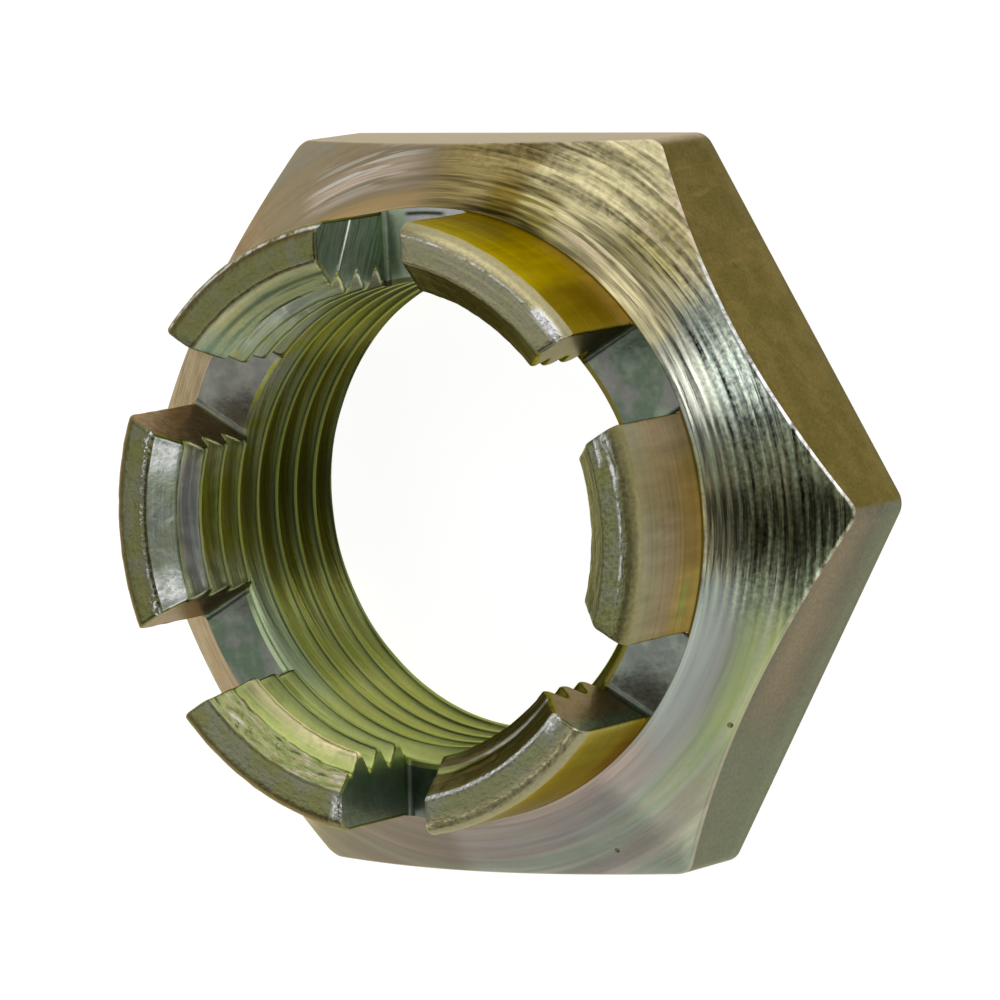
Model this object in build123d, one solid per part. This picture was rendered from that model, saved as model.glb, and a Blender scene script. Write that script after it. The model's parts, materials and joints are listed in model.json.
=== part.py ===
from build123d import *
from math import cos, pi, radians, tan
import os

os.makedirs("parts", exist_ok=True)

# A castellated spindle nut, in millimetres. It stands on its bearing face: the origin is the
# centre of that face, +Z runs along the thread towards the prongs, and two of the six wrench
# flats face along Y. A slot is cut above each flat, and a prong stands above each corner.

# Hexagon
across_flats = 32.0
corner_round = 0.9  # radius down the six upright edges
foot_break = 0.15  # small chamfer round the bearing face
total_height = 14.0

# Turned front face, a shallow cone from the collar down over the corners
flat_height = 6.15  # height of a wrench flat at its middle, where the cone crosses it
cone_slope = 40.0  # degrees from the bearing face

# Collar that carries the prongs
collar_diameter = 26.8
rim_round = 0.6  # radius round the top of the prongs
root_round = 0.35  # radius where the collar meets the cone

# Slots for the split pin
slot_pairs = 3
slot_width = 4.3
slot_depth = 5.5

# Thread, M22 x 1.5, left as a plain bore at its crest diameter
thread_diameter = 22.0
thread_pitch = 1.5
countersink_diameter = 23.5
countersink_angle = 90.0  # included angle

# Worked out from the sizes above
thread_height = thread_pitch * cos(radians(30))
crest_diameter = thread_diameter - 2 * (5 / 8) * thread_height
bore_radius = crest_diameter / 2
collar_radius = collar_diameter / 2
sink_radius = countersink_diameter / 2
sink_depth = (sink_radius - bore_radius) / tan(radians(countersink_angle / 2))
flat_distance = across_flats / 2
corner_radius = flat_distance / cos(pi / 6)
slot_floor = total_height - slot_depth


def cone_height(radius):
    """Height of the turned front face at a distance from the axis."""
    return flat_height + (flat_distance - radius) * tan(radians(cone_slope))


def hexagon():
    """The hexagonal bar, with two flats facing along Y and its upright edges rounded."""
    prism = extrude(RegularPolygon(flat_distance, 6, major_radius=False), amount=total_height)
    bar = fillet(prism.edges().filter_by(Axis.Z), corner_round)
    return chamfer(bar.faces().sort_by(Axis.Z)[0].outer_wire().edges(), foot_break)


def turned_blank():
    """What the lathe leaves: a cone over the corners, then the collar with its rounded rim."""
    outside = corner_radius + 1
    outline = Polyline(
        (0, 0),
        (outside, 0),
        (outside, cone_height(outside)),
        (collar_radius, cone_height(collar_radius)),
        (collar_radius, total_height),
        (0, total_height),
        close=True,
    )
    section = make_face(outline)
    root = section.vertices().sort_by_distance((collar_radius, cone_height(collar_radius)))[0]
    section = fillet(root, root_round)
    rim = section.vertices().sort_by_distance((collar_radius, total_height))[0]
    section = fillet(rim, rim_round)
    return revolve(Plane.XZ * section, Axis.Z)


def threaded_bore():
    """The bore at the thread's crests, with the same countersink at both ends."""
    bore = Pos(0, 0, total_height / 2) * Cylinder(bore_radius, total_height + 2)
    sink = Cone(sink_radius, bore_radius, sink_depth, align=(Align.CENTER, Align.CENTER, Align.MIN))
    top_sink = Pos(0, 0, total_height) * Rot(X=180) * sink
    return bore + sink + top_sink


def slots():
    """Straight cuts across the collar, each making two slots on opposite flats."""
    cut = Box(
        slot_width,
        2 * corner_radius + 2,
        slot_depth + 1,
        align=(Align.CENTER, Align.CENTER, Align.MIN),
    )
    step = 180 / slot_pairs
    return [Rot(Z=step * turn) * Pos(0, 0, slot_floor) * cut for turn in range(slot_pairs)]


def spindle_nut():
    """The finished nut as one solid."""
    return (hexagon() & turned_blank()) - threaded_bore() - slots()


nut = spindle_nut()
export_step(nut, "parts/spindle_nut.step")
print("spindle_nut", round(nut.volume, 1), "mm3", nut.bounding_box())
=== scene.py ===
import json
from math import asin, atan2, cos, pi, radians, sin, sqrt, tan

import bmesh
import bpy
from mathutils import Matrix, Vector


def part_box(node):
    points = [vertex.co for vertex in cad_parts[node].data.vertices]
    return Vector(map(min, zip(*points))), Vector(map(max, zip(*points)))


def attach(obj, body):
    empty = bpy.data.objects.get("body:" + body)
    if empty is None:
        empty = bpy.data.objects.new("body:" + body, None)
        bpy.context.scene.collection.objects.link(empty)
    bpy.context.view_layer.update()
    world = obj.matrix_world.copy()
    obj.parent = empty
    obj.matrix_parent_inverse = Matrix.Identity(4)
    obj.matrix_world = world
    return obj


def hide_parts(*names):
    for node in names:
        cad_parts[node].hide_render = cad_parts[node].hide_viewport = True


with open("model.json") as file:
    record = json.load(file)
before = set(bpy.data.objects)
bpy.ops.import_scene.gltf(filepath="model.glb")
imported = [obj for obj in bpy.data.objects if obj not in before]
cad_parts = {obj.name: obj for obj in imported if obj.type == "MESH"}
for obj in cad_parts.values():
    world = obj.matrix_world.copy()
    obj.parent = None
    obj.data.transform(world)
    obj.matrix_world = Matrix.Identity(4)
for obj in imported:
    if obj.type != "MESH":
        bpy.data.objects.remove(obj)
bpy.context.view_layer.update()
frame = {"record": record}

mm = 0.001
low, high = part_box("spindle_nut")
mounts = {mount["name"]: mount for mount in frame["record"]["mounts"]}

# Lengths in metres, angles in degrees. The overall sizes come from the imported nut.
nut = {
    "height": high.z - low.z,
    "acrossFlats": high.y - low.y,
    "cornerRound": 0.9 * mm,
    "footBreak": 0.15 * mm,
    "footBulge": 0.35,  # where the middle of that break stands, 0.5 if it were flat
    "edgeRound": 0.15 * mm,  # where the cone meets the wrench flats
    "flatHeight": 6.15 * mm,  # of a wrench flat at its middle
    "coneSlope": 40.0,
    "collarRadius": 13.4 * mm,
    "rimRound": 0.6 * mm,
    "rootRound": 0.16 * mm,  # reach of the fillet along the collar and the cone
    "slotHalfWidth": 2.15 * mm,
    "slotFloor": 8.5 * mm,
    "floorStart": 11.5 * mm,  # radius past the thread's roots
    "floorFillet": 0.28 * mm,  # left by the cutter between a slot's floor and its walls
    "lip": 0.15 * mm,  # rounding down the edges of the slots
    "lipInBore": 1.5,  # how far a lip widens the bore and the countersink, for its inset
    "lipInSink": 2.0,
    "sinkRadius": 11.75 * mm,
    "sinkSlope": 45.0,  # of the countersink, from the axis
    "sinkBreak": 0.08 * mm,  # rounding between a prong's end and the countersink
}

thread = {
    "crestRadius": mounts["axle_thread"]["dims"]["r_mm"] * mm,
    "pitch": 1.5 * mm,
    "depth": 0.812 * mm,
    "crestHalf": 0.125,  # half the crest's flat, in pitches
    "rounding": 0.34 * mm,
    "start": 0.7 * mm,  # height of a crest on the +X side
    "stepsPerTurn": 18,
}

mesh = {
    "slotColumns": 6,  # from the middle of a slot to its wall
    "lipSteps": 3,
    "prongColumns": 22,  # from a slot's lip to the prong's middle
    "cornerColumns": 7,  # of those, round the hexagon's corner
    "coneRows": 9,
    "flatRows": 5,
    "wallRows": 8,  # down the outside of a prong
    "ringSpans": 4,  # across a slot's floor or a prong's end
    "roundSteps": 4,
    "hexTries": 12,  # to find where an upright line of the pattern meets the hexagon
    "weld": 0.002 * mm,
    "sharpAngle": 50.0,  # degrees at which an edge stays hard
}

wear = {
    "depth": 0.09 * mm,  # unevenness of the prongs
    "tornDepth": 0.22 * mm,  # of the countersink on the prong that the tap tore
    "tornAt": 240.0,  # that prong's angle
    "patch": 0.55 * mm,  # size of one bump
    "detail": 2.0,
    "seed": 5,
    "start": 0.6 * mm,  # heights above the slots' floor between which it sets in
    "full": 1.4 * mm,
    "tornEnd": 20.0,  # degrees to each side where the tear ends
    "tornFull": 12.0,
    "tornRadius": 11.3 * mm,  # the middle of the torn band
    "tornReach": 0.7 * mm,
}

# One socket of a node tree. Sums and products on it add Math nodes to the tree.
class Wire:
    def __init__(self, graph, socket):
        self.graph = graph
        self.socket = socket

    def math(self, operation, *others, clamp=False):
        values = dict(enumerate((self, *others)))
        settings = {"operation": operation, "use_clamp": clamp}
        return self.graph.node("ShaderNodeMath", settings, values)

    def __add__(self, other):
        return self.math("ADD", other)

    def __radd__(self, other):
        return self.math("ADD", other)

    def __sub__(self, other):
        return self.math("SUBTRACT", other)

    def __rsub__(self, other):
        return self.graph.number(other).math("SUBTRACT", self)

    def __mul__(self, other):
        return self.math("MULTIPLY", other)

    def __rmul__(self, other):
        return self.math("MULTIPLY", other)

    def __truediv__(self, other):
        return self.math("DIVIDE", other)

    def __abs__(self):
        return self.math("ABSOLUTE")

    def clamped(self):
        return self.math("ADD", 0.0, clamp=True)

    # 0 below the first edge, 1 above the second, smooth between
    def ramp(self, start, end):
        settings = {"interpolation_type": "SMOOTHSTEP"}
        values = {"Value": self, "From Min": start, "From Max": end}
        return self.graph.node("ShaderNodeMapRange", settings, values)

    # 1 at the middle, falling smoothly to 0 at the given distance from it
    def bell(self, middle, reach):
        return 1 - abs(self - middle).ramp(0.0, reach)


# A node tree under construction.
class Graph:
    def __init__(self, tree):
        self.tree = tree

    def node(self, kind, settings=None, values=None, output=0):
        made = self.tree.nodes.new(kind)
        for name, value in (settings or {}).items():
            setattr(made, name, value)
        for name, value in (values or {}).items():
            self.feed(made.inputs[name], value)
        return Wire(self, made.outputs[output])

    def feed(self, socket, value):
        if isinstance(value, Wire):
            self.tree.links.new(value.socket, socket)
        else:
            socket.default_value = value

    def number(self, value):
        return self.node("ShaderNodeMath", {"operation": "ADD"}, {0: value, 1: 0.0})

    def vector(self, x, y, z):
        return self.node("ShaderNodeCombineXYZ", None, {0: x, 1: y, 2: z})

    # mask 0 gives the first colour, 1 the second; a Mix node has these sockets for colours
    def mixed(self, mask, first, second):
        return self.node("ShaderNodeMix", {"data_type": "RGBA"}, {0: mask, 6: first, 7: second}, 2)

    def axes(self, vector):
        split = self.tree.nodes.new("ShaderNodeSeparateXYZ")
        self.feed(split.inputs[0], vector)
        return [Wire(self, split.outputs[axis]) for axis in range(3)]


# The nut is bent from a pattern, and each vertex of the pattern holds these numbers.
patternFields = ("offset", "lean", "radius", "row", "lowest", "highest", "inset")


def hexRadius(angle):
    # distance from the axis to the hexagon, at an angle from the middle of a flat
    apothem = nut["acrossFlats"] / 2
    arcCentre = (apothem - nut["cornerRound"]) / cos(pi / 6)
    arcStart = atan2((apothem - nut["cornerRound"]) * tan(pi / 6), apothem)
    if abs(angle) <= arcStart:
        return apothem / cos(angle)
    turn = pi / 6 - abs(angle)
    return arcCentre * cos(turn) + sqrt(nut["cornerRound"] ** 2 - (arcCentre * sin(turn)) ** 2)


def coneHeight(radius):
    rise = (nut["acrossFlats"] / 2 - radius) * tan(radians(nut["coneSlope"]))
    return nut["flatHeight"] + rise


# An upright line of the pattern: offset is its distance from the slot's middle plane, lean is
# the turn added to that, and inset is how far a lip has drawn back from the full surface there.
def makeColumn(offset, lean, inset=0.0, inSlot=False):
    fillet = nut["floorFillet"]
    top = nut["slotFloor"] + fillet
    if inSlot:
        past = max(abs(offset) - (nut["slotHalfWidth"] - fillet), 0.0)
        top = nut["slotFloor"] + fillet - sqrt(max(fillet ** 2 - past ** 2, 0.0))
    return {"offset": offset, "lean": lean, "inset": inset, "top": top}


def slotColumns():
    half, fillet = nut["slotHalfWidth"], nut["floorFillet"]
    plain = [(half - fillet) * step / mesh["slotColumns"] for step in range(mesh["slotColumns"])]
    rising = [
        half - fillet + fillet * sin(pi / 2 * step / mesh["roundSteps"])
        for step in range(mesh["roundSteps"] + 1)
    ]
    return [makeColumn(offset, 0.0, inSlot=True) for offset in plain + rising]


def lipColumns():
    half, lip = nut["slotHalfWidth"], nut["lip"]
    turns = [pi / 2 * step / mesh["lipSteps"] for step in range(mesh["lipSteps"] + 1)]
    return [makeColumn(half + lip * (1 - cos(turn)), 0.0, lip * (1 - sin(turn))) for turn in turns]


def prongColumns():
    cornerShare = 0.925  # of the way from the lip to the prong's middle
    plainCount = mesh["prongColumns"] - mesh["cornerColumns"]
    shares = [cornerShare * step / plainCount for step in range(plainCount)]
    for step in range(mesh["cornerColumns"] + 1):
        shares.append(cornerShare + (1 - cornerShare) * step / mesh["cornerColumns"])
    edge = nut["slotHalfWidth"] + nut["lip"]
    return [makeColumn(edge * (1 - share), pi / 6 * share) for share in shares]


def hexPoint(column):
    # where an upright line of the pattern meets the hexagon
    radius = nut["acrossFlats"] / 2
    for _ in range(mesh["hexTries"]):
        radius = hexRadius(asin(column["offset"] / radius) + column["lean"])
    return radius


def bend(start, corner, end, steps):
    # points of a rounding from start to end, in the plane of radius and height
    points = []
    for step in range(steps + 1):
        t = step / steps
        a, b, c = (1 - t) ** 2, 2 * t * (1 - t), t ** 2
        points.append(tuple(a * p + b * q + c * r for p, q, r in zip(start, corner, end)))
    return points


# A station is a point of an upright line, with the finish of the face that leads to it.
def fixed(radius, height, finish):
    return dict(radius=radius, row=0.0, lowest=height, highest=height, inset=0.0, finish=finish)


def onThread(row, lowest, highest, inset=0.0):
    return dict(radius=0.0, row=row, lowest=lowest, highest=highest, inset=inset, finish="bore")


def threadRows(lowest, highest):
    # rows that follow the thread's turns, in pitches, enough to fill a height all the way round
    first = int((lowest - thread["start"]) / thread["pitch"]) - 2
    last = int((highest - thread["start"]) / thread["pitch"]) + 1
    steps = thread["stepsPerTurn"]
    return [turn + step / steps for turn in range(first, last + 1) for step in range(steps)]


def lowerBore(column):
    return [onThread(row, 0.0, column["top"]) for row in threadRows(0.0, column["top"])]


def lowerOutside(column):
    # from the collar down over the cone, the wrench flat and the bearing face
    collar, reach = nut["collarRadius"], nut["rootRound"]
    slope = radians(nut["coneSlope"])
    meet = coneHeight(collar)
    onCone = (collar + reach * cos(slope), meet - reach * sin(slope))
    points = [(collar, column["top"], "wall")]
    for point in bend((collar, meet + reach), (collar, meet), onCone, mesh["roundSteps"]):
        points.append((*point, "cone" if len(points) > 1 else "wall"))
    outer, edge = hexPoint(column), nut["edgeRound"]
    outerHeight = coneHeight(outer)
    edgeStart = (outer - edge * cos(slope), outerHeight + edge * sin(slope))
    for step in range(1, mesh["coneRows"]):
        radius = onCone[0] + (edgeStart[0] - onCone[0]) * step / mesh["coneRows"]
        points.append((radius, coneHeight(radius), "cone"))
    flatTop, foot = outerHeight - edge, nut["footBreak"]
    for point in bend(edgeStart, (outer, outerHeight), (outer, flatTop), mesh["roundSteps"]):
        points.append((*point, "cone"))
    for step in range(1, mesh["flatRows"] + 1):
        points.append((outer, flatTop + (foot - flatTop) * step / mesh["flatRows"], "flat"))
    points.append((outer - foot * nut["footBulge"], foot * nut["footBulge"], "flat"))
    points.append((outer - foot, 0.0, "flat"))
    for step in range(1, mesh["flatRows"] + 1):
        radius = outer - foot + (nut["sinkRadius"] - outer + foot) * step / mesh["flatRows"]
        points.append((radius, 0.0, "bearing"))
    return [fixed(*point) for point in points]


def upperProfile(column):
    # from the thread above the slot's floor, over the prong's end and down the collar
    seam = nut["slotFloor"] + nut["floorFillet"]
    inset, rim = column["inset"], nut["rimRound"]
    top = nut["height"] - inset
    outer = nut["collarRadius"] - inset
    reach, edge = nut["sinkBreak"], nut["sinkRadius"] + inset
    stations = [onThread(row, seam, top - reach, inset) for row in threadRows(seam, top)]
    broken = bend((edge - reach, top - reach), (edge, top), (edge + reach, top), mesh["roundSteps"])
    for point in broken[1:]:
        stations.append(fixed(*point, "prongEnd"))
    ringStart, ringEnd, spans = edge + reach, nut["collarRadius"] - rim, mesh["ringSpans"]
    for step in range(1, spans + 1):
        stations.append(fixed(ringStart + (ringEnd - ringStart) * step / spans, top, "prongEnd"))
    rimSteps = mesh["roundSteps"] + 2
    for step in range(1, rimSteps + 1):
        turn = pi / 2 * step / rimSteps
        radius = ringEnd + (rim - inset) * sin(turn)
        height = nut["height"] - rim + (rim - inset) * cos(turn)
        stations.append(fixed(radius, height, "prongEnd"))
    wallTop = nut["height"] - rim
    for step in range(1, mesh["wallRows"] + 1):
        stations.append(fixed(outer, wallTop + (seam - wallTop) * step / mesh["wallRows"], "wall"))
    return stations


def floorStations(column):
    beyond = nut["height"] / thread["pitch"] + 1.0  # any row that far up is held at the floor
    top = column["top"]
    stations = [onThread(beyond, top, top), onThread(beyond, top, top, nut["lip"])]
    start, end, spans = nut["floorStart"], nut["collarRadius"] - nut["lip"], mesh["ringSpans"]
    stations += [fixed(start + (end - start) * step / spans, top, "slot") for step in range(spans + 1)]
    stations.append(fixed(nut["collarRadius"], top, "slot"))
    return stations


# Collects the pattern's vertices and faces. Strips meet where their vertices land together.
class Pattern:
    def __init__(self):
        self.vertices = []
        self.faces = []
        self.finishes = []

    def add(self, column, side, station):
        self.vertices.append((
            column["offset"] * side, column["lean"] * side, station["radius"], station["row"],
            station["lowest"], station["highest"], station["inset"],
        ))
        return len(self.vertices) - 1

    def strip(self, columns, side, stationsOf):
        for left, right in zip(columns, columns[1:]):
            stations = stationsOf(left)
            first = [self.add(left, side, station) for station in stations]
            second = [self.add(right, side, station) for station in stationsOf(right)]
            for index in range(len(first) - 1):
                self.faces.append((first[index], second[index], second[index + 1], first[index + 1]))
                self.finishes.append(stations[index + 1]["finish"])

    def polygon(self, column, side, stations):
        self.faces.append([self.add(column, side, station) for station in stations])
        self.finishes.append("slot")


def slotPattern():
    # one sixth of the nut, a slot with half a prong on each side
    pattern = Pattern()
    inSlot, lips, prong = slotColumns(), lipColumns(), prongColumns()
    onProng = lips[:-1] + prong
    seam, collar = nut["slotFloor"] + nut["floorFillet"], nut["collarRadius"]
    deepest = -9.0  # a row that is held at the seam all the way round
    for side in (1, -1):
        pattern.strip(inSlot, side, lowerBore)
        pattern.strip(inSlot, side, floorStations)
        pattern.strip(inSlot, side, lowerOutside)
        plain = [dict(column, inset=0.0) for column in onProng]
        pattern.strip(plain, side, lowerBore)
        pattern.strip(plain, side, lowerOutside)
        pattern.strip(onProng, side, upperProfile)
        pattern.strip(lips, side, lambda column: [
            onThread(deepest, seam, seam), onThread(deepest, seam, seam, column["inset"]),
        ])
        pattern.strip(lips, side, lambda column: [
            fixed(collar - column["inset"], seam, "wall"), fixed(collar, seam, "wall"),
        ])
        wall = upperProfile(lips[0])
        foot = floorStations(inSlot[-1])[2:-2]
        pattern.polygon(lips[0], side, wall + foot[::-1])
    return pattern


def patternMesh(pattern):
    data = bpy.data.meshes.new("slotPattern")
    data.from_pydata([(0.0, 0.0, 0.0)] * len(pattern.vertices), [], pattern.faces)
    for index, name in enumerate(patternFields):
        field = data.attributes.new(name, "FLOAT", "POINT")
        field.data.foreach_set("value", [vertex[index] for vertex in pattern.vertices])
    order = list(finishMakers)
    field = data.attributes.new("finish", "INT", "FACE")
    field.data.foreach_set("value", [order.index(name) for name in pattern.finishes])
    data.polygons.foreach_set("use_smooth", [True] * len(data.polygons))
    return data


# Sizes that the tree takes, with the value that this nut has.
nutInputs = {
    "Slots": 6,
    "Pitch": thread["pitch"],
    "Thread Depth": thread["depth"],
    "Crest Radius": thread["crestRadius"],
    "Crest Half": thread["crestHalf"],
    "Thread Start": thread["start"],
    "Rounding": thread["rounding"],
    "Height": nut["height"],
    "Sink Radius": nut["sinkRadius"],
    "Sink Slope": tan(radians(nut["sinkSlope"])),
    "Weld": mesh["weld"],
    "Slot Floor": nut["slotFloor"],
    "Wear": wear["depth"],
    "Torn": wear["tornDepth"],
    "Bumps": 1 / wear["patch"],  # in a metre
    "Seed": wear["seed"],
}


def buildNutTree(materials):
    tree = bpy.data.node_groups.new("slottedNut", "GeometryNodeTree")
    tree.interface.new_socket("Geometry", in_out="INPUT", socket_type="NodeSocketGeometry")
    for name, value in nutInputs.items():
        kind = "NodeSocketInt" if isinstance(value, int) else "NodeSocketFloat"
        tree.interface.new_socket(name, in_out="INPUT", socket_type=kind)
    tree.interface.new_socket("Geometry", in_out="OUTPUT", socket_type="NodeSocketGeometry")
    graph = Graph(tree)
    entry = tree.nodes.new("NodeGroupInput")
    given = {socket.name: Wire(graph, socket) for socket in entry.outputs if socket.name}

    def named(name):
        return graph.node("GeometryNodeInputNamedAttribute", {"data_type": "FLOAT"}, {"Name": name})

    # six copies of the pattern, each with its own turn
    spots = graph.node("GeometryNodePoints", None, {"Count": given["Slots"]})
    copies = graph.node(
        "GeometryNodeInstanceOnPoints", None, {"Points": spots, "Instance": given["Geometry"]}
    )
    index = graph.node("GeometryNodeInputIndex")
    turned = graph.node(
        "GeometryNodeStoreNamedAttribute",
        {"data_type": "FLOAT", "domain": "INSTANCE"},
        {"Geometry": copies, "Name": "turn", "Value": (index + 0.5) / given["Slots"]},
    )
    whole = graph.node("GeometryNodeRealizeInstances", None, {"Geometry": turned})

    # the thread's crest line, its profile and the two countersinks
    offset, lean, inset = named("offset"), named("lean"), named("inset")
    sectorTurn = named("turn") * (2 * pi) + lean
    crestAngle = (offset / (given["Crest Radius"] + 0.5 * given["Thread Depth"])).math("ARCSINE")
    turns = (sectorTurn + crestAngle) / (2 * pi)
    climb = (named("row") + turns) * given["Pitch"] + given["Thread Start"]
    height = climb.math("MAXIMUM", named("lowest")).math("MINIMUM", named("highest"))
    along = (height - given["Thread Start"]) / given["Pitch"] - turns
    fromCrest = abs((along + 0.5).math("FRACT") - 0.5)
    rise = (fromCrest - given["Crest Half"]) * given["Pitch"] * tan(pi / 3)
    depth = rise.math("SMOOTH_MAX", 0.0, given["Rounding"])
    depth = depth.math("SMOOTH_MIN", given["Thread Depth"], given["Rounding"])
    cut = given["Crest Radius"] + depth + nut["lipInBore"] * inset
    front = given["Sink Radius"] - (given["Height"] - height) * given["Sink Slope"]
    front = front + nut["lipInSink"] * inset
    rear = given["Sink Radius"] - height * given["Sink Slope"]
    bore = cut.math("MAXIMUM", front).math("MAXIMUM", rear)
    outside = named("radius")
    radius = outside + bore * outside.math("LESS_THAN", mm)

    angle = sectorTurn + (offset / radius).math("ARCSINE")
    place = graph.vector(radius * angle.math("COSINE"), radius * angle.math("SINE"), height)

    # the prongs are a little uneven, and the tap has torn the countersink of one of them
    settings = {"noise_dimensions": "4D"}
    values = {"Vector": place, "W": given["Seed"], "Scale": given["Bumps"], "Detail": wear["detail"]}
    bumps = graph.node("ShaderNodeTexNoise", settings, values, "Color")
    onProng = (height - given["Slot Floor"]).ramp(wear["start"], wear["full"])
    fromTear = (angle - radians(wear["tornAt"])).math("COSINE")
    besideTear = fromTear.ramp(cos(radians(wear["tornEnd"])), cos(radians(wear["tornFull"])))
    inSink = radius.bell(wear["tornRadius"], wear["tornReach"])
    amount = onProng * (given["Wear"] + given["Torn"] * besideTear * inSink)
    aside, along, above = graph.axes(bumps)
    shift = graph.vector(
        (aside - 0.5) * amount, (along - 0.5) * amount, abs(above - 0.5) * -1.0 * amount
    )
    bent = graph.node(
        "GeometryNodeSetPosition", None, {"Geometry": whole, "Position": place, "Offset": shift}
    )
    welded = graph.node(
        "GeometryNodeMergeByDistance", None, {"Geometry": bent, "Distance": given["Weld"]}
    )
    painted = graph.node("GeometryNodeRealizeInstances", None, {"Geometry": welded})
    finish = graph.node("GeometryNodeInputNamedAttribute", {"data_type": "INT"}, {"Name": "finish"})
    for number, material in enumerate(materials):
        mine = abs(finish - number).math("LESS_THAN", 0.5)
        values = {"Geometry": painted, "Selection": mine, "Material": material}
        painted = graph.node("GeometryNodeSetMaterial", None, values)
    leave = tree.nodes.new("NodeGroupOutput")
    tree.links.new(painted.socket, leave.inputs[0])
    return tree


def evaluatedMesh(piece):
    graph = bpy.context.evaluated_depsgraph_get()
    return bpy.data.meshes.new_from_object(piece.evaluated_get(graph))


# Tints of the chromate film, and of the highlights and shade painted on it, as linear colours
tints = {
    "cream": (0.500, 0.450, 0.250, 1),
    "straw": (0.430, 0.375, 0.165, 1),
    "tobacco": (0.250, 0.192, 0.074, 1),
    "ivory": (0.680, 0.600, 0.330, 1),
    "russet": (0.225, 0.178, 0.112, 1),
    "olive": (0.360, 0.320, 0.110, 1),
    "moss": (0.300, 0.305, 0.118, 1),
    "umber": (0.300, 0.215, 0.075, 1),
    "blush": (0.500, 0.400, 0.320, 1),
    "rose": (0.330, 0.260, 0.180, 1),
    "pewter": (0.320, 0.330, 0.280, 1),
    "mint": (0.330, 0.420, 0.280, 1),
    "lime": (0.370, 0.430, 0.160, 1),
    "lilac": (0.335, 0.330, 0.300, 1),
    "teal": (0.190, 0.258, 0.180, 1),
    "amber": (0.400, 0.265, 0.100, 1),
    "gold": (0.440, 0.350, 0.004, 1),
    "bronze": (0.120, 0.092, 0.020, 1),
    "bottle": (0.250, 0.360, 0.250, 1),
    "ink": (0.070, 0.095, 0.050, 1),
    "fawn": (0.380, 0.310, 0.255, 1),
    "terracotta": (0.215, 0.130, 0.078, 1),
    "walnut": (0.190, 0.135, 0.020, 1),
    "loam": (0.120, 0.085, 0.058, 1),
    "steel": (0.215, 0.258, 0.226, 1),
    "zinc": (0.850, 0.860, 0.840, 1),
    "mist": (0.320, 0.350, 0.315, 1),
    "silver": (0.430, 0.490, 0.400, 1),
    "peat": (0.085, 0.085, 0.010, 1),
    "apricot": (0.620, 0.440, 0.160, 1),
    "brick": (0.210, 0.120, 0.070, 1),
    "slate": (0.205, 0.205, 0.180, 1),
    "sage": (0.210, 0.270, 0.185, 1),
    "clay": (0.280, 0.205, 0.180, 1),
    "grass": (0.270, 0.330, 0.150, 1),
    "fern": (0.305, 0.315, 0.035, 1),
}


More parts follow.
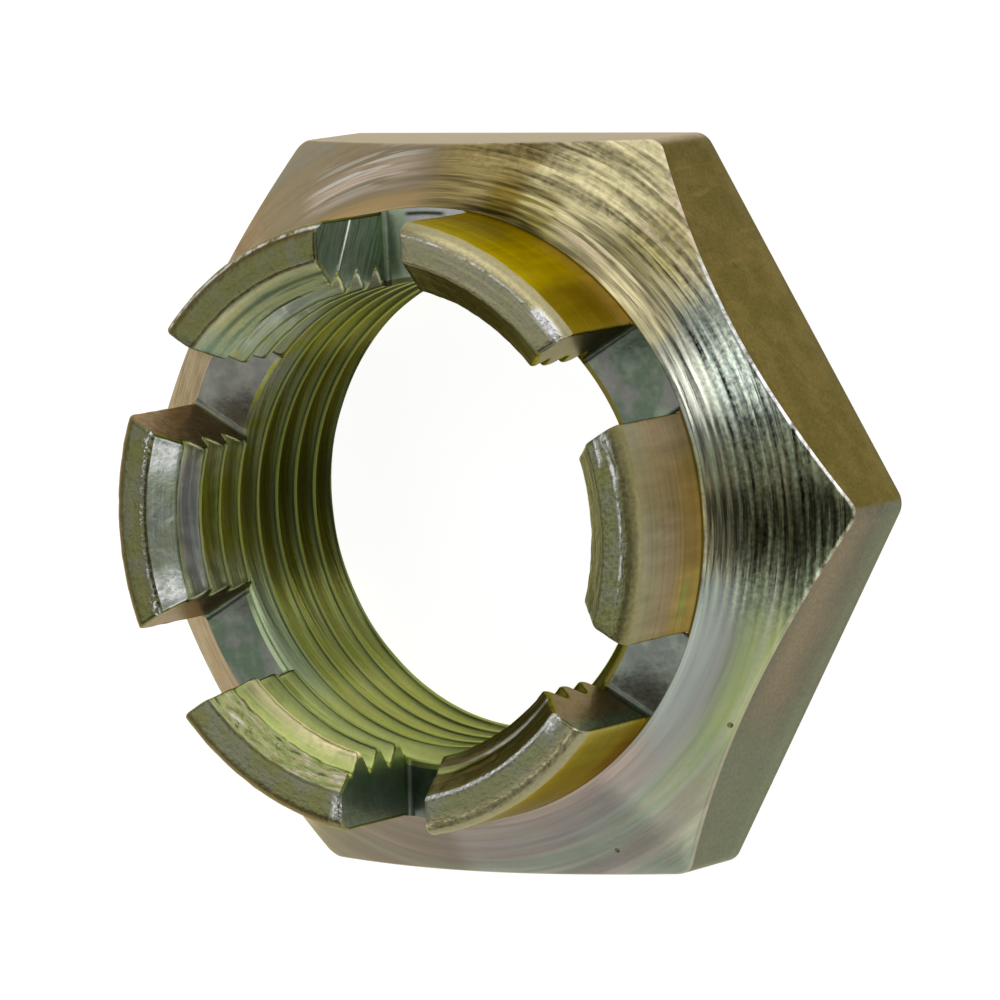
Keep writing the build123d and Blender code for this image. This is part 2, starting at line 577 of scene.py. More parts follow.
# Nodes that a finish is made from, in millimetres and in degrees round the axis from +X. Prongs
# stand at 0, 60, 120 degrees and so on, and slots halfway between them.
class Finish(Graph):
    def __init__(self, name):
        self.material = bpy.data.materials.new(name)
        self.material.use_nodes = True
        super().__init__(self.material.node_tree)
        self.shader = self.tree.nodes["Principled BSDF"]
        objectPlace = self.node("ShaderNodeTexCoord", output="Object")
        self.x, self.y, self.z = [axis / mm for axis in self.axes(objectPlace)]
        self.radius = (self.x * self.x + self.y * self.y).math("SQRT")
        self.cosine, self.sine = self.x / self.radius, self.y / self.radius

    # noise between 0 and 1 at a place given by three wires
    def noise(self, x, y, z, detail=3.0, roughness=0.55):
        values = {"Vector": self.vector(x, y, z), "Scale": 1.0, "Detail": detail, "Roughness": roughness}
        return self.node("ShaderNodeTexNoise", {"normalize": True}, values)

    # streaks that run round the axis, given how many there are in a millimetre
    def rings(self, across, perMillimetre, along=0.8, detail=3.0):
        return self.noise(across * perMillimetre, self.cosine * along, self.sine * along, detail)

    # patches of a size in millimetres
    def clouds(self, size, detail=3.0, shift=0.0):
        return self.noise(self.x / size + shift, self.y / size, self.z / size, detail)

    # 1 at an angle round the axis, falling to 0 at reach degrees from it
    def towards(self, degrees, reach):
        turn = radians(degrees)
        near = self.cosine * cos(turn) + self.sine * sin(turn)
        return near.ramp(cos(radians(reach)), 1.0)

    # the same with a broad middle, broader for a smaller fall
    def sector(self, degrees, reach, fall=0.4):
        return self.towards(degrees, reach).ramp(0.0, fall)

    # 1 on the wrench flat that looks to an angle
    def onFlat(self, degrees):
        turn = radians(degrees)
        reach = self.x * cos(turn) + self.y * sin(turn)
        return reach.ramp(nut["acrossFlats"] / 2 / mm - 0.3, nut["acrossFlats"] / 2 / mm - 0.05)

    # distance from the middle plane of the nearest slot
    def fromSlot(self):
        first = abs(self.x)
        second = abs(self.x * cos(pi / 3) - self.y * sin(pi / 3))
        third = abs(self.x * cos(pi / 3) + self.y * sin(pi / 3))
        return first.math("MINIMUM", second).math("MINIMUM", third)

    # height above the front countersink's cone, 0 on it
    def overSink(self):
        rise = (nut["sinkRadius"] / mm - self.radius) / tan(radians(nut["sinkSlope"]))
        return self.z - (nut["height"] / mm - rise)

    # height above the front cone, 0 on it and less on the broken edge of the flats
    def overCone(self):
        rise = (nut["acrossFlats"] / 2 / mm - self.radius) * tan(radians(nut["coneSlope"]))
        return self.z - (nut["flatHeight"] / mm + rise)

    # 1 at a place given in millimetres, falling to 0 at a distance from it
    def spot(self, place, reach):
        here = self.vector(self.x, self.y, self.z)
        settings = {"operation": "DISTANCE"}
        away = self.node("ShaderNodeVectorMath", settings, {0: here, 1: place}, "Value")
        return away.ramp(reach, 0.4 * reach)

    # a tint with others laid over it where their masks are
    def layered(self, first, *layers):
        colour = tints[first]
        for mask, tint in layers:
            colour = self.mixed(mask, colour, tints[tint])
        return colour

    def scaled(self, colour, level):
        grey = self.vector(level, level, level)
        return self.node("ShaderNodeVectorMath", {"operation": "MULTIPLY"}, {0: colour, 1: grey})

    # edge is the tint of a glancing reflection
    def complete(self, colour, roughness, relief, depth, edge=(0.90, 0.85, 0.65, 1)):
        self.feed(self.shader.inputs["Base Color"], colour)
        self.feed(self.shader.inputs["Roughness"], roughness)
        self.shader.inputs["Metallic"].default_value = 1.0
        self.shader.inputs["Specular Tint"].default_value = edge
        values = {"Height": relief, "Distance": depth * mm, "Strength": 1.0}
        bump = self.node("ShaderNodeBump", None, values)
        self.feed(self.shader.inputs["Normal"], bump)
        return self.material


coneMarks = {
    "feed": 0.33,  # between the rings that the lathe left
    "pits": ((12.99, -9.02, 6.30), (6.79, -14.76, 5.94)),
    "pitReach": 0.16,
}


def turnedCone():
    finish = Finish("turnedCone")
    radius = finish.radius
    towards, sector, rings = finish.towards, finish.sector, finish.rings
    fine = rings(radius, 8.5, 6.0, 2.0).ramp(0.36, 0.64)
    feed = rings(radius, 3.6, 2.6, 1.5).ramp(0.36, 0.64)
    broad = rings(radius, 1.3, 1.0, 2.0).ramp(0.36, 0.64)
    drift = rings(radius, 0.5, 1.5, 1.0) * 0.14
    turning = ((radius + drift) * (2 * pi / coneMarks["feed"])).math("SINE") * 0.5 + 0.5
    grooveGlints = turning.ramp(0.4, 1.0) * rings(radius, 1.7, 1.2, 1.0).ramp(0.40, 0.60)
    hatch = rings(radius, 4.5, 60.0, 1.0).ramp(0.42, 0.58)
    grains = rings(radius, 8.0, 80.0, 1.0).ramp(0.34, 0.66)
    hair = rings(radius, 5.5, 4.0, 1.0).ramp(0.50, 0.60)
    chatter = rings(radius, 5.0, 50.0, 1.0).ramp(0.36, 0.64) * radius.ramp(14.6, 15.6)
    # where the light makes the tool marks stand out, and where they are long and even. The marks'
    # stronger contrast in the colour there is painted highlight and shade, besides the bumps
    litMarks, plain = sector(37, 63, 0.5) + towards(180, 60) * 0.25, sector(6, 34, 0.5)
    inner, arc = radius.ramp(14.9, 13.9), rings(radius, 0.8, 0.6, 1.0)
    sheen = rings(radius, 1.7, 0.7, 1.0)
    lower, far = sector(-65, 72, 0.5), sector(-85, 50, 0.5)
    upperLeft = sector(112, 26, 0.6)
    edge = finish.overCone().ramp(-0.004, -0.03)
    pits = [finish.spot(place, coneMarks["pitReach"]) for place in coneMarks["pits"]]
    colour = finish.layered(
        "straw",
        (feed * broad.ramp(0.2, 0.8) * 0.9, "blush"),
        (hair * 0.5, "cream"),
        (fine * 0.35, "olive"),
        # painted highlight: cream near the collar at about 38 degrees
        (towards(38, 13) * inner * 0.8, "cream"),
        (sector(84, 22, 0.6) * 0.96, "tobacco"),
        # painted highlight: a cream streak at about 63 degrees
        (sector(63, 13, 0.7) * radius.ramp(13.9, 15.0) * (0.5 + 0.4 * feed), "cream"),
        (sector(72, 9, 0.7) * radius.ramp(15.4, 14.4) * 0.85, "walnut"),
        (towards(67, 7) * radius.ramp(15.2, 14.2) * 0.4, "olive"),
        # painted highlights: ivory streaks at about 60 to 64 degrees
        (towards(60, 7) * radius.bell(15.2, 1.3) * 0.7, "ivory"),
        (hair * sector(64, 11, 0.6) * radius.ramp(13.6, 14.4) * 0.5, "ivory"),
        (upperLeft, "russet"),
        (upperLeft * arc.ramp(0.50, 0.40) * 0.4, "slate"),
        (towards(106, 15) * radius.bell(15.4, 1.3) * hair * 0.4, "zinc"),
        (towards(106, 15) * radius.bell(15.2, 1.1) * feed * 0.7, "blush"),
        (upperLeft * radius.ramp(14.4, 13.8) * 0.6, "amber"),
        (sector(180, 60), "terracotta"),
        (towards(150, 18) * 0.5, "loam"),
        (sector(180, 60) * finish.clouds(1.1).ramp(0.38, 0.66) * 0.5, "rose"),
        (towards(20, 26) * 0.8, "mist"),
        # painted highlight: ivory near the collar at about 42 degrees
        (sector(42, 10, 0.7) * inner * 0.75, "ivory"),
        # painted shade: the outer half of the highlight at about 22 degrees is darkened
        (sector(22, 18, 0.5) * radius.ramp(14.2, 14.9) * (0.5 + 0.4 * hatch), "steel"),
        (lower, "slate"),
        (lower * arc.ramp(0.40, 0.60) * 0.45, "sage"),
        (towards(-30, 36) * radius.ramp(14.2, 15.4) * 0.6, "grass"),
        (towards(-20, 32) * inner, "mist"),
        (towards(-14, 18) * (0.1 + 0.25 * inner), "silver"),
        (towards(-61, 10) * 0.2, "silver"),
        (towards(-26, 15) * radius.ramp(14.7, 15.8) * 0.7, "lime"),
        (far * inner * 0.7, "clay"),
        (far * arc.ramp(0.50, 0.38) * 0.35, "clay"),
        (lower * sheen.ramp(0.52, 0.62) * 0.3, "lilac"),
        (far * sheen.ramp(0.46, 0.38) * 0.25, "blush"),
        (sector(-108, 20, 0.6) * 0.5, "loam"),
        (towards(5, 12) * 0.55, "moss"),
        # painted highlight: ivory along the inner radius at about 0 degrees; painted shade: ink on the
        # outer radius at about -6 degrees
        (towards(-1, 11) * inner * 0.8, "ivory"),
        (towards(-6, 11) * radius.ramp(15.4, 16.4) * 0.5, "ink"),
        # painted highlights: thin pale rings on the feed grooves, in the dark sector at about 2 degrees
        (sector(2, 22, 0.6) * grooveGlints * (0.4 + 0.4 * grains), "mint"),
        (edge * 0.5, "fawn"),
        # painted highlight: white along the broken edge of the flats at about 22 degrees
        (edge * sector(22, 24) * 0.9, "zinc"),
        *((pit * 0.8, "peat") for pit in pits),
    )
    even = 1.0 - plain
    # the tool marks' own tone in the colour, with painted light: the even feed rings between about -28
    # and 40 degrees are painted as light and dark rings, and the marks' contrast between about -26 and
    # 100 degrees is painted highlight and shade
    marks = (feed - 0.5) * (0.35 + 0.45 * even) + (fine - 0.5) * 0.45 + (chatter - 0.5) * 0.3
    marks = marks + (grains - 0.5) * plain * (0.45 - 0.35 * inner) + (broad - 0.5) * 0.2
    marks = marks + (turning - 0.5) * plain * 0.7
    waves = feed * 0.55 + fine * 0.2 + broad * 0.15
    relief = (waves * (0.3 + 0.7 * even) + turning * plain * 0.15) * litMarks
    level = 1.0 + marks * (0.12 + 0.88 * litMarks)
    tinted = finish.scaled(colour, level)
    return finish.complete(tinted, 0.14 + fine * 0.08, relief - sum(pits) * 2.0, 0.05)


flatPit = {"place": (12.42, 10.48, 3.43), "reach": 0.22}


def wrenchFlat():
    finish = Finish("wrenchFlat")
    z = finish.z
    towards, clouds, noise, onFlat = finish.towards, finish.clouds, finish.noise, finish.onFlat
    grain = noise(finish.cosine * 60, finish.sine * 60, z * 0.5)
    scratches = noise(finish.cosine * 28, finish.sine * 28, z * 0.25, 1.0)
    mottle, wash = clouds(0.16, detail=2.0), clouds(3.0)
    upper, lower = onFlat(30), onFlat(-30)
    upperEnd = upper * towards(54, 16)
    colour = finish.layered(
        "bronze",
        (clouds(1.6, shift=4.0).ramp(0.42, 0.62) * 0.2, "umber"),
        (upperEnd * wash.ramp(0.36, 0.56) * 0.12, "amber"),
        (upperEnd * scratches.ramp(0.56, 0.64) * 0.2, "amber"),
        (upper * finish.spot(flatPit["place"], flatPit["reach"]), "peat"),
        (lower * 0.75, "slate"),
        (lower * z.bell(4.2, 2.4) * towards(-16, 24) * 0.8, "rose"),
        (lower * wash.ramp(0.50, 0.62) * 0.3, "rose"),
        (lower * z.ramp(2.4, 0.8) * 0.5, "sage"),
        (lower * towards(-50, 20) * 0.5, "sage"),
        (onFlat(90) * 0.6, "blush"),
    )
    relief = grain * 0.5 + mottle * 0.5 - scratches.ramp(0.62, 0.70) * upperEnd
    shade = (0.42 + grain * 0.30 + mottle * 0.86) * (1.0 - 0.36 * lower) * (1.0 - 0.2 * upperEnd)
    tinted = finish.scaled(colour, shade)
    return finish.complete(tinted, 0.34 + grain * 0.12, relief, 0.02)


def collarWall():
    finish = Finish("collarWall")
    z = finish.z
    towards, sector = finish.towards, finish.sector
    lines, run = finish.rings(z, 4.0, 1.2), finish.noise(finish.cosine * 30, finish.sine * 30, z * 0.4)
    drift = finish.clouds(2.2, shift=2.0)
    right, foot = sector(0, 40, 0.5), z.ramp(11.2, 9.4)
    colour = finish.layered(
        "gold",
        (drift.ramp(0.42, 0.62) * 0.3, "umber"),
        (towards(80, 18) * z.ramp(9.0, 10.4) * 0.6, "moss"),
        (sector(40, 14, 0.8) * 0.9, "walnut"),
        (sector(48, 20, 0.6) * z.ramp(10.2, 8.9) * 0.6, "amber"),
        (sector(180, 88, 0.1) * 0.85, "tobacco"),
        (right * 0.95, "rose"),
        (right * z.ramp(11.4, 12.8) * 0.4, "sage"),
        (right * towards(9, 9) * 0.3, "walnut"),
        # the film's warm tint at the foot near 0 to -15 degrees, brightened as a painted highlight
        (right * foot * sector(-5, 22, 0.6) * 0.7, "amber"),
        (right * foot * towards(-15, 10) * 0.9, "apricot"),
        (right * towards(-14, 5) * z.bell(9.8, 0.6) * 0.8, "lime"),
        (sector(-60, 36, 0.6) * (0.45 + 0.4 * z.ramp(9.0, 11.0)), "olive"),
        (towards(-74, 14) * 0.7, "pewter"),
        (towards(-48, 10) * z.ramp(10.5, 9.0) * 0.8, "brick"),
        (towards(-58, 20) * z.ramp(9.6, 11.4) * 0.3, "walnut"),
        (z.ramp(8.75, 8.60), "bronze"),
        (finish.x.bell(-2.2, 0.25).ramp(0.0, 0.4), "ink"),
    )
    # painted highlight: the wall at about 58 degrees is brighter towards its foot
    shade = (0.5 + lines * 0.2 + run * 0.5) * (1.0 + 0.25 * towards(58, 34) * z.ramp(10.6, 9.2))
    relief = lines * 0.6 + run * 0.4
    tinted = finish.scaled(colour, shade)
    return finish.complete(tinted, 0.24 + lines * 0.15, relief, 0.02, (0.8, 0.65, 0.3, 1))


def prongEnd():
    finish = Finish("prongEnd")
    radius = finish.radius
    towards, sector, rings, clouds = finish.towards, finish.sector, finish.rings, finish.clouds
    lines, speck = rings(radius, 5.0, 1.5), clouds(0.2)
    worn = clouds(0.45, detail=5.0, shift=7.0)
    broken, flecks = worn.ramp(0.36, 0.60), speck.ramp(0.46, 0.56)
    rim = radius.ramp(12.80, 13.05)
    edge = radius.bell(nut["sinkRadius"] / mm, 0.20)
    smears = rings(radius, 4.0, 9.0).ramp(0.46, 0.60)
    right, lower = sector(0, 34), sector(-60, 34)
    # worn edges and the prongs' ends by the slots: bare metal, with painted glints along them
    wornLinesAndGlints = [
        radius.bell(11.9, 0.18) * sector(180, 24) * flecks * broken,
        radius.bell(12.86, 0.11) * sector(62, 26) * broken * 0.8,
        radius.bell(13.18, 0.12) * sector(120, 26) * broken,
        radius.bell(12.66, 0.16) * sector(6, 20) * broken * 0.8,
        edge * sector(-60, 26, 0.3) * (0.6 + 0.4 * flecks),
    ]
    wornEndsAndGlints = [
        radius.bell(12.95, 0.4) * towards(43.5, 5),
        radius.bell(12.7, 0.4) * towards(15, 7) * smears,
        radius.bell(12.1, 0.4) * towards(17, 4) * smears,
        radius.bell(12.0, 0.4) * towards(-42, 4) * (0.4 + 0.6 * flecks),
        radius.bell(12.4, 0.9) * towards(-101, 1.7) * (0.4 + 0.6 * flecks),
        radius.bell(11.95, 0.3) * towards(162, 4) * flecks,
        radius.bell(11.95, 0.3) * towards(-162, 3) * flecks,
    ]
    bareAndGlinting = sum(wornLinesAndGlints + wornEndsAndGlints).clamped()
    colour = finish.layered(
        "moss",
        (clouds(1.5).ramp(0.4, 0.65) * 0.5, "pewter"),
        (sector(60, 34) * (0.3 + 0.3 * lines), "pewter"),
        (sector(63, 34) * (0.3 + lines.ramp(0.50, 0.60) * 0.5), "cream"),
        (lower * 0.25, "pewter"),
        (right * speck.ramp(0.62, 0.34) * 0.4, "ink"),
        (rim * 0.3, "olive"),
        (rim * right * 0.6, "straw"),
        (rim * sector(180, 90, 0.2) * 0.8, "umber"),
        (radius.ramp(13.28, 13.36) * towards(-8, 20) * 0.6, "cream"),
        # painted highlights: pale rim bands on the prongs at about -60 and 58 degrees
        (radius.ramp(12.45, 12.80) * lower * 0.6, "cream"),
        (rim * towards(58, 26) * 0.95, "ivory"),
        # painted highlight: a cream line along the countersink's edge on the upper prongs
        (edge * sector(90, 60) * 0.6, "cream"),
        (bareAndGlinting, "zinc"),
    )
    relief = lines * 0.3 + speck * 0.5 + worn * 0.8 + bareAndGlinting * speck * 1.2
    # painted highlight: the rim band of the prongs at about -60 degrees is brightened
    turned = radius.bell(12.95, 0.17) * 1.5 + radius.ramp(12.5, 12.8) * 0.1
    shade = (0.31 + lines * 0.22 + speck * 0.36) * (1.0 + 0.8 * bareAndGlinting) * (1.0 + lower * turned)
    shade = shade * (1.0 - 0.2 * sector(150, 60, 0.3))
    # painted highlight: the rim of the prong at about 58 degrees is brightened
    shade = shade * (1.0 + 1.1 * radius.bell(13.08, 0.24) * towards(58, 24))
    roughness = 0.26 + speck * 0.16 + 0.14 * rim * right
    tinted = finish.scaled(colour, shade)
    return finish.complete(tinted, roughness, relief, 0.05)


def threadedBore():
    finish = Finish("threadedBore")
    z, radius = finish.z, finish.radius
    towards, sector, rings, clouds = finish.towards, finish.sector, finish.rings, finish.clouds
    lines, speck = rings(z, 7.0, 1.5), clouds(0.2)
    worn, drift = clouds(0.4, detail=5.0, shift=3.0), clouds(2.2, shift=5.0)
    torn, streaks = rings(radius, 6.5, 14.0, 5.0), rings(radius, 8.0, 4.0)
    crestShade = radius.ramp(10.50, 10.28)
    sink = abs(finish.overSink()).ramp(0.10, 0.05) * radius.ramp(10.3, 10.45)
    leftProng, tornProng = sector(180, 36), sector(240, 34)
    upperProng = sector(120, 34)
    rightSink = sink * sector(0, 92, 0.2)
    upperLeft = towards(128, 50) * z.ramp(5.0, 9.0)
    glint = (1.0 - sector(180, 14, 0.6)) * (0.3 + 0.7 * worn.ramp(0.40, 0.54))
    colour = finish.layered(
        "fern",
        (drift.ramp(0.40, 0.60) * 0.4, "olive"),
        # painted shade: the bore is darkened low down at about 170 degrees
        (sector(170, 39, 0.6) * z.ramp(10.0, 5.5) * 0.85, "peat"),
        (sector(-112, 60, 0.6) * (0.4 + 0.4 * z.ramp(6.0, 10.0)), "lime"),
        (towards(-148, 24) * z.bell(8.2, 1.4) * 0.8, "mint"),
        (upperLeft * drift.ramp(0.42, 0.62) * 0.7, "mist"),
        (upperLeft * drift.ramp(0.46, 0.36) * 0.5, "sage"),
        (towards(102, 22) * z.ramp(8.0, 5.0) * 0.5, "mist"),
        (towards(120, 26) * z.ramp(8.5, 10.0) * 0.6, "silver"),
        # the film's lilac tint with a painted highlight: a pale band on the top thread flank at about
        # 180 degrees
        (towards(180, 22) * z.bell(12.35, 0.5), "lilac"),
        (towards(180, 22) * z.bell(12.25, 0.4) * 0.6, "zinc"),
        (towards(198, 12) * z.ramp(8.6, 9.6) * 0.4, "mist"),
        # painted shade across the thread's flanks, darker towards the crests and low in the bore
        (radius.ramp(10.85, 10.35) * z.ramp(12.6, 11.0) * 0.25, "peat"),
        # painted shade: the thread's crests are darkened
        (crestShade * 0.55, "ink"),
        (sector(0, 80, 0.2) * z.ramp(8.2, 8.5) * 0.8, "bronze"),
        # painted highlights: pale bands on the top thread by the torn prong at about 240 to 252 degrees
        (tornProng * z.bell(12.3, 0.45) * 0.9, "cream"),
        (towards(-108, 16) * z.bell(12.45, 0.4) * (0.3 + 0.5 * worn.ramp(0.4, 0.6)), "ivory"),
        (sink * 0.7, "pewter"),
        (sink * upperProng * 0.8, "moss"),
        (sink * upperProng * streaks.ramp(0.40, 0.60) * 0.5, "teal"),
        (sink * upperProng * streaks.ramp(0.56, 0.66) * 0.5, "ink"),
        # painted shadow in the first thread groove, and a painted highlight on the countersink's edge,
        # on the prong at 120 degrees
        (sink * upperProng * radius.bell(11.2, 0.16) * 0.8, "ink"),
        (sink * upperProng * radius.bell(11.55, 0.15) * 0.6, "cream"),
        (sink * towards(141, 12) * 0.6, "teal"),
        (sink * leftProng, "silver"),
        (sink * leftProng * drift.ramp(0.40, 0.60) * 0.4, "moss"),
        (sink * leftProng * glint * 0.8, "zinc"),
        # painted shade where the countersink meets the thread on the prong at 180 degrees
        (sink * leftProng * radius.ramp(10.86, 10.76) * 0.8, "ink"),
        (sink * tornProng * 0.9, "lime"),
        (sink * tornProng * torn.ramp(0.47, 0.55) * 0.9, "cream"),
        (sink * tornProng * torn.ramp(0.60, 0.64) * 0.5, "zinc"),
        (sink * tornProng * torn.ramp(0.46, 0.40) * 0.9, "moss"),
        (sink * tornProng * torn.ramp(0.38, 0.33) * 0.8, "ink"),
        (rightSink * 0.9, "bronze"),
        (rightSink * sector(0, 30) * (0.5 + 0.4 * speck.ramp(0.4, 0.6)), "pewter"),
        (rightSink * sector(-60, 30) * radius.bell(10.8, 0.15) * 0.6, "zinc"),
    )
    relief = lines * 0.4 + (speck * 0.3 + worn * 0.3) * sink + torn * tornProng * sink * 1.4
    # painted light: the bore is brightened at about 254 degrees, high up at about 120 degrees and low
    # down at about 99 degrees
    paintedLight = 0.5 * sector(-106, 36, 0.8) + 0.5 * towards(120, 24) * z.ramp(8.5, 10.0)
    paintedLight = paintedLight + 0.6 * towards(99, 17) * z.ramp(8.5, 7.0)
    shade = (0.66 + lines * 0.45 + speck * 0.3) * (1.0 + paintedLight * (1.0 - sink))
    tinted = finish.scaled(colour, shade)
    return finish.complete(tinted, 0.28 + lines * 0.1, relief, 0.05, (0.88, 0.84, 0.40, 1))


# The cutter's marks on the walls: slant is their fall for a step outwards, and one of them is bare.
cutterMark = {"slant": 0.52, "bareAt": 18.2}


def milledSlot():
    finish = Finish("milledSlot")
    x, z, radius = finish.x, finish.z, finish.radius
    sector, clouds = finish.sector, finish.clouds
    cloud, fine = clouds(0.9), clouds(0.3)
    slant = z + radius * cutterMark["slant"]  # the same all along one mark
    scratch = finish.noise(slant * 5.0, x * 0.3, finish.y * 0.3)
    top, floor = sector(100, 16, 0.3), z.ramp(8.95, 8.55)
    left = sector(180, 40, 0.3)
    foot = z.bell(8.72, 0.22)
    # painted highlight: the floor deep in the slot at the back is painted pale and bright
    litHollow = floor * sector(86, 14)  # deep in the slot at the back
    # painted highlight: a bright strip on the floor beside the wall of the slot at about 98 degrees
    strip = floor * sector(98, 16, 0.3) * x.ramp(-0.9, -1.2)
    colour = finish.layered(
        "bottle",
        (sector(46, 16, 0.3) * 0.9, "bronze"),
        (left * 0.95, "brick"),
        (left * fine.ramp(0.45, 0.6) * 0.5, "umber"),
        (left * cloud.ramp(0.50, 0.60) * 0.4, "clay"),
        (left * fine.ramp(0.52, 0.42) * 0.3, "terracotta"),
        (sector(-40, 16) * radius.ramp(13.3, 12.2) * 0.9, "brick"),
        (sector(-40, 16) * fine.ramp(0.45, 0.6) * 0.5, "bronze"),
        (top * 0.55, "silver"),
        (top * scratch.ramp(0.50, 0.38) * 0.7, "teal"),
        (top * scratch.ramp(0.52, 0.60) * 0.5, "ink"),
        (top * slant.bell(cutterMark["bareAt"], 0.22).ramp(0.2, 0.7), "zinc"),
        (sector(-106, 14, 0.3) * x.ramp(-3.2, -2.3) * 0.5, "silver"),
        (floor, "teal"),
        (floor * clouds(1.6, shift=1.0).ramp(0.40, 0.60) * 0.9, "lilac"),
        (floor * finish.fromSlot().ramp(1.2, 1.9) * cloud.ramp(0.42, 0.58) * 0.6, "mint"),
        (floor * finish.towards(-30, 20) * 0.9, "mist"),
        (floor * sector(150, 20, 0.5) * 0.6, "lilac"),
        (floor * sector(150, 20, 0.5) * cloud.ramp(0.4, 0.6) * 0.25, "blush"),
        (floor * sector(-30, 20, 0.5) * cloud.ramp(0.4, 0.6) * 0.7, "silver"),
        (floor * cloud.ramp(0.48, 0.70) * 0.4, "silver"),
        # painted highlight: a pale line along the fillet at the walls' foot, strongest at about 165
        # degrees
        (foot * 0.4, "mint"),
        (foot * sector(165, 14) * 0.7, "cream"),
        (litHollow, "zinc"),
        (strip * 0.9, "mint"),
        (strip * 0.5, "silver"),
        (litHollow * radius.bell(13.16, 0.15) * x.ramp(1.1, 0.7) * x.ramp(-1.2, -0.9), "ink"),
    )
    mark = top * slant.bell(cutterMark["bareAt"], 0.2)
    relief = cloud * 0.3 + fine * 0.25 + scratch * top * 0.5 - mark * 1.6
    # painted shade darkens the slot floors, and painted light brightens the strip and the hollow at the
    # back
    shade = (0.65 + cloud * 0.35 + fine * 0.3) * (1.0 - 0.45 * floor)
    shade = shade * (1.0 + 1.3 * strip + 0.6 * litHollow)
    tinted = finish.scaled(colour, shade)
    return finish.complete(tinted, 0.28 + cloud * 0.12 + litHollow * 0.3, relief, 0.05)


def bearingFace():
    finish = Finish("bearingFace")
    lines = finish.rings(finish.radius, 6.0)
    colour = finish.layered("olive", (lines.ramp(0.4, 0.7) * 0.5, "cream"))
    return finish.complete(colour, 0.25 + lines * 0.15, lines, 0.02)


# The nut's finishes, by the names that its stations give
finishMakers = {
    "cone": turnedCone,
    "flat": wrenchFlat,
    "wall": collarWall,
    "prongEnd": prongEnd,
    "bore": threadedBore,
    "slot": milledSlot,
    "bearing": bearingFace,
}


def buildNut():
    piece = bpy.data.objects.new("castellatedNut", patternMesh(slotPattern()))
    bpy.context.scene.collection.objects.link(piece)
    tree = buildNutTree([maker() for maker in finishMakers.values()])
    modifier = piece.modifiers.new("slottedNut", "NODES")
    modifier.node_group = tree
    for item in tree.interface.items_tree:
        if item.in_out == "INPUT" and item.name in nutInputs:
            modifier[item.identifier] = nutInputs[item.name]
    piece.data = evaluatedMesh(piece)
    piece.modifiers.clear()
    for name in patternFields + ("turn", "finish"):
        if name in piece.data.attributes:
            piece.data.attributes.remove(piece.data.attributes[name])
    closed = bmesh.new()
    closed.from_mesh(piece.data)
    bmesh.ops.recalc_face_normals(closed, faces=closed.faces)
    loose = sum(1 for edge in closed.edges if not edge.is_manifold)
    closed.to_mesh(piece.data)
    closed.free()
    piece.data.set_sharp_from_angle(angle=radians(mesh["sharpAngle"]))
    weighted = piece.modifiers.new("weightedNormals", "WEIGHTED_NORMAL")
    weighted.keep_sharp = True
    piece.data = evaluatedMesh(piece)
    piece.modifiers.clear()
    triangles = sum(len(face.vertices) - 2 for face in piece.data.polygons)
    print("nut", len(piece.data.vertices), "vertices,", triangles, "triangles,", loose, "open edges")
    return piece


camera = {
    "aim": Vector((-1.61, -0.20, 1.06)) * mm,
    "azimuth": 11.075,  # from the nut to the camera, round the axis from +X
    "elevation": 56.766,
    "roll": 101.736,  # from upright
    "distance": 388.03 * mm,
    "lens": 316.1,  # in mm, as is the sensor's width
    "sensor": 36.0,
    "nearest": 0.01,
    "farthest": 10.0,
}


def buildCamera():
    data = bpy.data.cameras.new("camera")
    data.lens, data.sensor_width = camera["lens"], camera["sensor"]
    data.clip_start, data.clip_end = camera["nearest"], camera["farthest"]
    eye = bpy.data.objects.new("camera", data)
    azimuth, elevation, roll = [radians(camera[name]) for name in ("azimuth", "elevation", "roll")]
    back = Vector((cos(elevation) * cos(azimuth), cos(elevation) * sin(azimuth), sin(elevation)))
    side = Vector((-sin(azimuth), cos(azimuth), 0.0))
    up = back.cross(side) * cos(roll) + side * sin(roll)
    right = up.cross(back)
    place = camera["aim"] + back * camera["distance"]
    eye.matrix_world = Matrix.Translation(place) @ Matrix((right, up, back)).transposed().to_4x4()
    bpy.context.scene.collection.objects.link(eye)
    bpy.context.scene.camera = eye


studio = {
    "floorHalf": 0.6,  # metres from the middle to an edge
    "floorTint": (0.32, 0.32, 0.32, 1),
    "floorRoughness": 0.9,
    "floorGlow": 0.93,  # what the floor gives off to the camera and to reflections
    "horizon": (1.0, 1.0, 1.0, 1),
    "overhead": (0.04, 0.04, 0.04, 1),
    "domeStart": 0.08,  # sines of the heights between which the dome darkens
    "domeEnd": 0.60,
}

# Soft boxes: direction from the nut, distance and sides in metres, and brightness
softBoxes = {
    "keyBox": ((0.13, 0.76, 0.64), 0.7, (1.10, 0.46), 0.75),
    "stripBox": ((0.61, 0.39, 0.675), 0.7, (0.17, 0.26), 2.2),
    "fillBox": ((0.71, 0.13, 0.685), 0.7, (0.16, 0.26), 0.35),
    "sideBox": ((0.43, -0.715, 0.55), 0.7, (0.76, 0.45), 0.78),
    "backBox": ((-0.50, 0.05, 0.86), 0.7, (0.60, 0.50), 1.20),
}


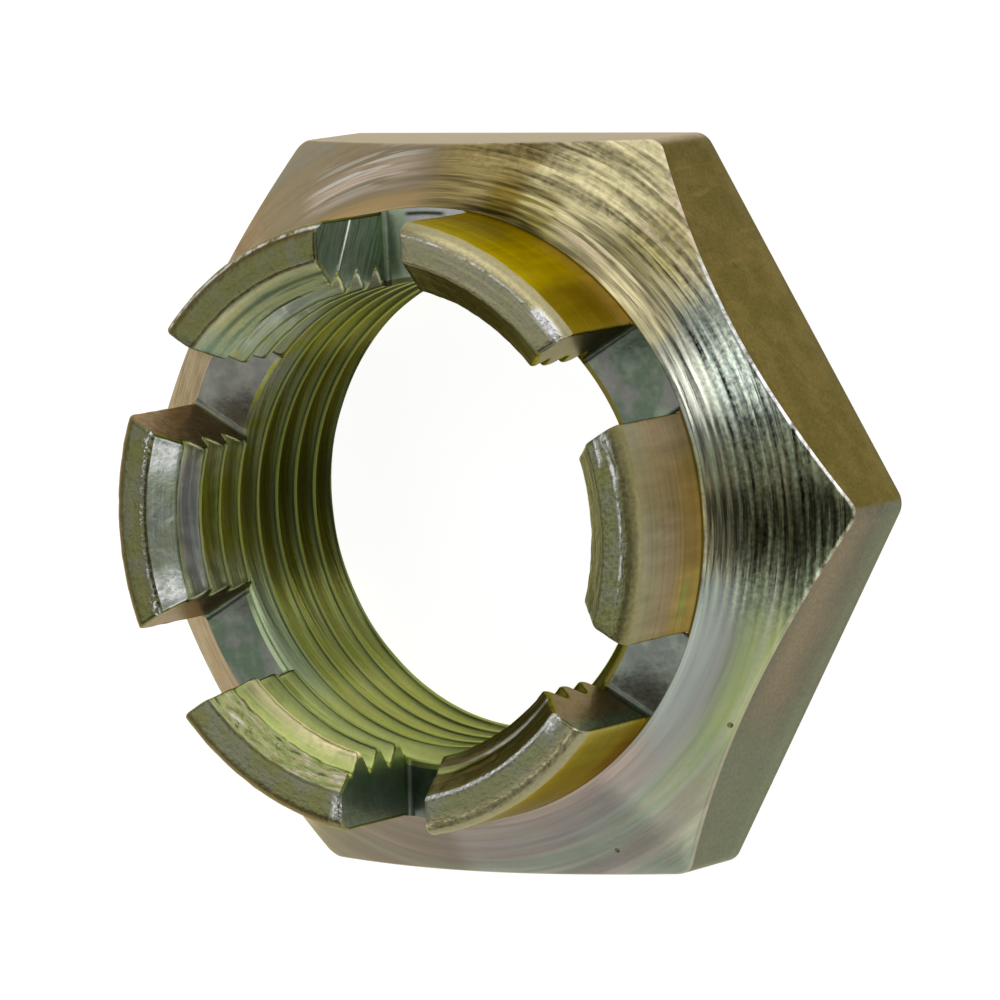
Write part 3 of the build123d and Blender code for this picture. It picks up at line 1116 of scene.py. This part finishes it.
def seenDirectly(graph):
    # 1 for the camera's rays and for reflections and refractions
    rays = graph.tree.nodes.new("ShaderNodeLightPath")
    names = ("Is Camera Ray", "Is Glossy Ray", "Is Transmission Ray")
    direct, mirrored, through = [Wire(graph, rays.outputs[name]) for name in names]
    return direct.math("MAXIMUM", mirrored).math("MAXIMUM", through)


def buildFloor():
    data = bpy.data.meshes.new("floor")
    half = studio["floorHalf"]
    corners = [(-half, -half, 0), (half, -half, 0), (half, half, 0), (-half, half, 0)]
    data.from_pydata(corners, [], [(0, 1, 2, 3)])
    floor = bpy.data.objects.new("floor", data)
    material = bpy.data.materials.new("paleFloor")
    material.use_nodes = True
    graph = Graph(material.node_tree)
    shader = graph.tree.nodes["Principled BSDF"]
    shader.inputs["Base Color"].default_value = studio["floorTint"]
    shader.inputs["Roughness"].default_value = studio["floorRoughness"]
    shader.inputs["Specular IOR Level"].default_value = 0.0
    shader.inputs["Emission Strength"].default_value = 1.0
    glow = seenDirectly(graph) * studio["floorGlow"]
    graph.feed(shader.inputs["Emission Color"], graph.vector(glow, glow, glow))
    data.materials.append(material)
    bpy.context.scene.collection.objects.link(floor)


def buildLight():
    world = bpy.data.worlds.new("studio")
    world.use_nodes = True
    bpy.context.scene.world = world
    graph = Graph(world.node_tree)
    up = graph.axes(graph.node("ShaderNodeTexCoord", output="Generated"))[2]
    height = up.ramp(studio["domeStart"], studio["domeEnd"])
    dome = graph.mixed(height, studio["horizon"], studio["overhead"])
    toCamera = graph.node("ShaderNodeLightPath", output="Is Camera Ray")
    shown = graph.mixed(toCamera, dome, studio["horizon"])
    graph.feed(world.node_tree.nodes["Background"].inputs["Color"], shown)
    for name, (direction, distance, sides, brightness) in softBoxes.items():
        data = bpy.data.lights.new(name, "AREA")
        data.shape = "RECTANGLE"
        data.size, data.size_y = sides
        data.energy = brightness * pi * sides[0] * sides[1]
        lamp = bpy.data.objects.new(name, data)
        lamp.location = Vector(direction).normalized() * distance
        lamp.rotation_euler = Vector(direction).to_track_quat("Z", "Y").to_euler()
        bpy.context.scene.collection.objects.link(lamp)


buildCamera()
buildFloor()
buildLight()
print("studio: camera, floor,", len(softBoxes), "soft boxes")
spindleNut = buildNut()
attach(spindleNut, "root")
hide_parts("spindle_nut")
bpy.context.scene.view_settings.view_transform = "Standard"
